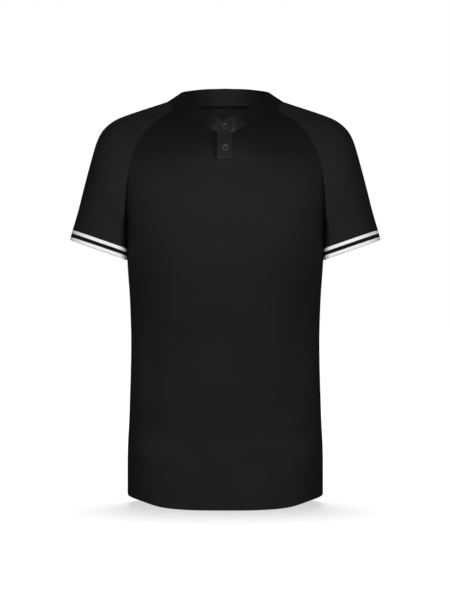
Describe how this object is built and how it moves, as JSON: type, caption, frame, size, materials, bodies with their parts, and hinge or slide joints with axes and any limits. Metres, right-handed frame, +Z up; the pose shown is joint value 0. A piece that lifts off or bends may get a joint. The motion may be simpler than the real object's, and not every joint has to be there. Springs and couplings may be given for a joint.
{
  "type": "henley jersey",
  "caption": "Hollow short-sleeved henley jersey with raglan sleeves, striped cuffs, a wide neck band and a buttoned placket, filled out as worn.",
  "frame": {"origin": "between the shoulders, level with the neck points, where the wearer carries the jersey", "axes": "+X towards the wearer's left, +Y towards the back, +Z up"},
  "size_m": [0.56, 0.2442, 0.7542],
  "materials": {
    "black_knit": "smooth matt polyester knit",
    "striped_rib": "fine rib knit, white with one black stripe round the middle",
    "black_button": "satin"
  },
  "bodies": {
    "root": {"front_panel": "black_knit", "back_panel": "black_knit", "sleeve_left": "black_knit", "sleeve_right": "black_knit", "cuff_left": "striped_rib", "cuff_right": "striped_rib", "neck_band": "black_knit", "placket": "black_knit", "placket_under": "black_knit", "button_top": "black_button", "button_bottom": "black_button", "neck_tape": "black_knit"}
  },
  "joints": []
}
